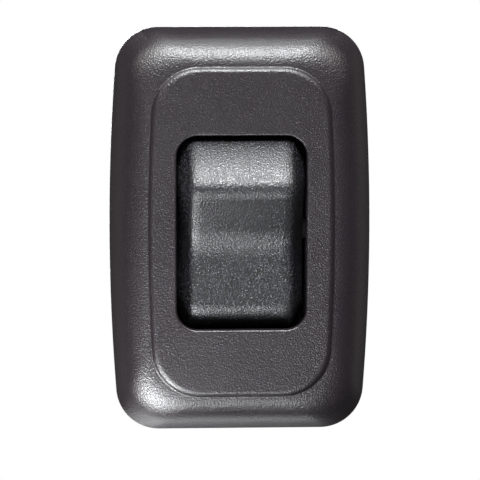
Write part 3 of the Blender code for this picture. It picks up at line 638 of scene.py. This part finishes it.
def join_and_smooth():
    """A node group for CAD nodes: joins their triangles and shades all but sharp edges smooth."""
    group = bpy.data.node_groups.new("join_and_smooth", "GeometryNodeTree")
    group.interface.new_socket("Geometry", in_out="INPUT", socket_type="NodeSocketGeometry")
    group.interface.new_socket("Geometry", in_out="OUTPUT", socket_type="NodeSocketGeometry")
    source = group.nodes.new("NodeGroupInput")
    forget = group.nodes.new("GeometryNodeRemoveAttribute")
    forget.inputs["Name"].default_value = "custom_normal"
    weld = group.nodes.new("GeometryNodeMergeByDistance")
    weld.inputs["Distance"].default_value = WELD
    angle = group.nodes.new("GeometryNodeInputMeshEdgeAngle")
    compare = group.nodes.new("FunctionNodeCompare")
    compare.operation = "LESS_THAN"
    compare.inputs["B"].default_value = SMOOTH_ANGLE
    edges = group.nodes.new("GeometryNodeSetShadeSmooth")
    edges.domain = "EDGE"
    faces = group.nodes.new("GeometryNodeSetShadeSmooth")
    result = group.nodes.new("NodeGroupOutput")
    link = group.links.new
    link(source.outputs[0], forget.inputs["Geometry"])
    link(forget.outputs["Geometry"], weld.inputs["Geometry"])
    link(weld.outputs["Geometry"], faces.inputs["Geometry"])
    link(angle.outputs["Unsigned Angle"], compare.inputs["A"])
    link(faces.outputs["Geometry"], edges.inputs["Geometry"])
    link(compare.outputs["Result"], edges.inputs["Shade Smooth"])
    link(edges.outputs["Geometry"], result.inputs[0])
    return group


def dress_cad_pieces(materials):
    """Gives each piece that keeps its CAD shape its material and smooth shading."""
    group = join_and_smooth()
    for node, made_of in CAD_PIECES.items():
        obj = frame["nodes"][node]
        obj.data.materials.clear()
        obj.data.materials.append(materials[made_of])
        obj.modifiers.new("joined", "NODES").node_group = group


def stand_in(obj, material, body, node):
    """Puts a rebuilt piece on its body, in place of a CAD node."""
    obj.data.materials.append(material)
    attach(obj, body)
    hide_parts(node)


def rebuild_pieces(materials):
    """The face plate, the rocker with its trunnions, and the spring that the plunger squeezes."""
    place = Matrix.Translation(PIVOT) @ Matrix.Rotation(REST_TILT, 4, "X")
    stand_in(face_plate(), materials["plate_plastic"], "base", "face_plate")
    stand_in(rocker_skin(place), materials["rocker_plastic"], "rocker", "rocker")
    for side in (-1, 1):
        stand_in(trunnion(side, place), materials["axle_plastic_painted_shade"], "rocker", "rocker")

    spring = plunger_spring(place)
    stand_in(spring, materials["spring_wire"], "rocker", "plunger_spring")
    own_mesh(spring)


# ---- camera and surroundings


def direction(azimuth, elevation):
    """The unit vector from the switch towards an azimuth and elevation in degrees."""
    azimuth, elevation = math.radians(azimuth), math.radians(elevation)
    return Vector((
        math.sin(azimuth) * math.cos(elevation),
        -math.cos(azimuth) * math.cos(elevation),
        math.sin(elevation),
    ))


def place_camera():
    """A camera in front of the switch, a little to its left and above it."""
    away = direction(VIEW_AZIMUTH, VIEW_ELEVATION)
    data = bpy.data.cameras.new("camera")
    data.sensor_width = SENSOR
    data.lens = SENSOR * VIEW_DISTANCE / VIEW_SPAN
    camera = bpy.data.objects.new("camera", data)
    camera.location = AIM + away * VIEW_DISTANCE
    camera.rotation_euler = (-away).to_track_quat("-Z", "Y").to_euler()
    bpy.context.scene.collection.objects.link(camera)
    bpy.context.scene.camera = camera


def softbox(name, azimuth, elevation, distance, width, height, radiance, colour):
    """A rectangular soft light that faces the switch."""
    away = direction(azimuth, elevation)
    data = bpy.data.lights.new(name, "AREA")
    data.shape = "RECTANGLE"
    data.size, data.size_y = width, height
    data.energy = radiance * math.pi * width * height
    data.color = colour
    light = bpy.data.objects.new(name, data)
    light.location = away * distance
    light.rotation_euler = away.to_track_quat("Z", "Y").to_euler()
    light.visible_camera = False
    bpy.context.scene.collection.objects.link(light)


def studio_room():
    """A white background to look at, and a dim grey room that lights the switch."""
    scene = bpy.context.scene
    scene.view_settings.view_transform = "Standard"
    world = bpy.data.worlds.new("studio")
    world.use_nodes = True
    scene.world = world
    tree = world.node_tree
    room = tree.nodes["Background"]
    room.inputs["Color"].default_value = (1.0, 0.985, 0.97, 1.0)
    room.inputs["Strength"].default_value = AMBIENT
    seen = tree.nodes.new("ShaderNodeBackground")
    seen.inputs["Color"].default_value = (1.0, 1.0, 1.0, 1.0)
    path = tree.nodes.new("ShaderNodeLightPath")
    mix = tree.nodes.new("ShaderNodeMixShader")
    tree.links.new(path.outputs["Is Camera Ray"], mix.inputs["Fac"])
    tree.links.new(room.outputs["Background"], mix.inputs[1])
    tree.links.new(seen.outputs["Background"], mix.inputs[2])
    tree.links.new(mix.outputs["Shader"], tree.nodes["World Output"].inputs["Surface"])


def pale_floor():
    """A plain floor that lights itself, so that it looks pale and leaves the switch alone."""
    corners = ((-1, -1), (1, -1), (1, 1), (-1, 1))
    points = [(x * FLOOR_HALF, y * FLOOR_HALF, -FLOOR_DROP) for x, y in corners]
    mesh = bpy.data.meshes.new("floor")
    mesh.from_pydata(points, [], [(0, 1, 2, 3)])
    floor = bpy.data.objects.new("floor", mesh)
    bpy.context.scene.collection.objects.link(floor)
    material, shader = new_material("floor_paint", (0.8, 0.79, 0.77), 0.6)
    tone = remap(material, noise(material, 0.4), 0.3, 0.7, 0.0, 1.0)
    paint = blend_colour(material, tone, (0.78, 0.77, 0.75), (0.83, 0.82, 0.8))
    feed(material, shader.inputs["Base Color"], paint)
    feed(material, shader.inputs["Emission Color"], paint)
    shader.inputs["Emission Strength"].default_value = FLOOR_GLOW
    mesh.materials.append(material)
    floor.visible_diffuse = False
    floor.visible_glossy = False


# ---- assembly


def main():
    materials = switch_materials()
    rebuild_pieces(materials)
    dress_cad_pieces(materials)
    place_camera()
    studio_room()
    pale_floor()
    for light in LIGHTS:
        softbox(*light)


main()
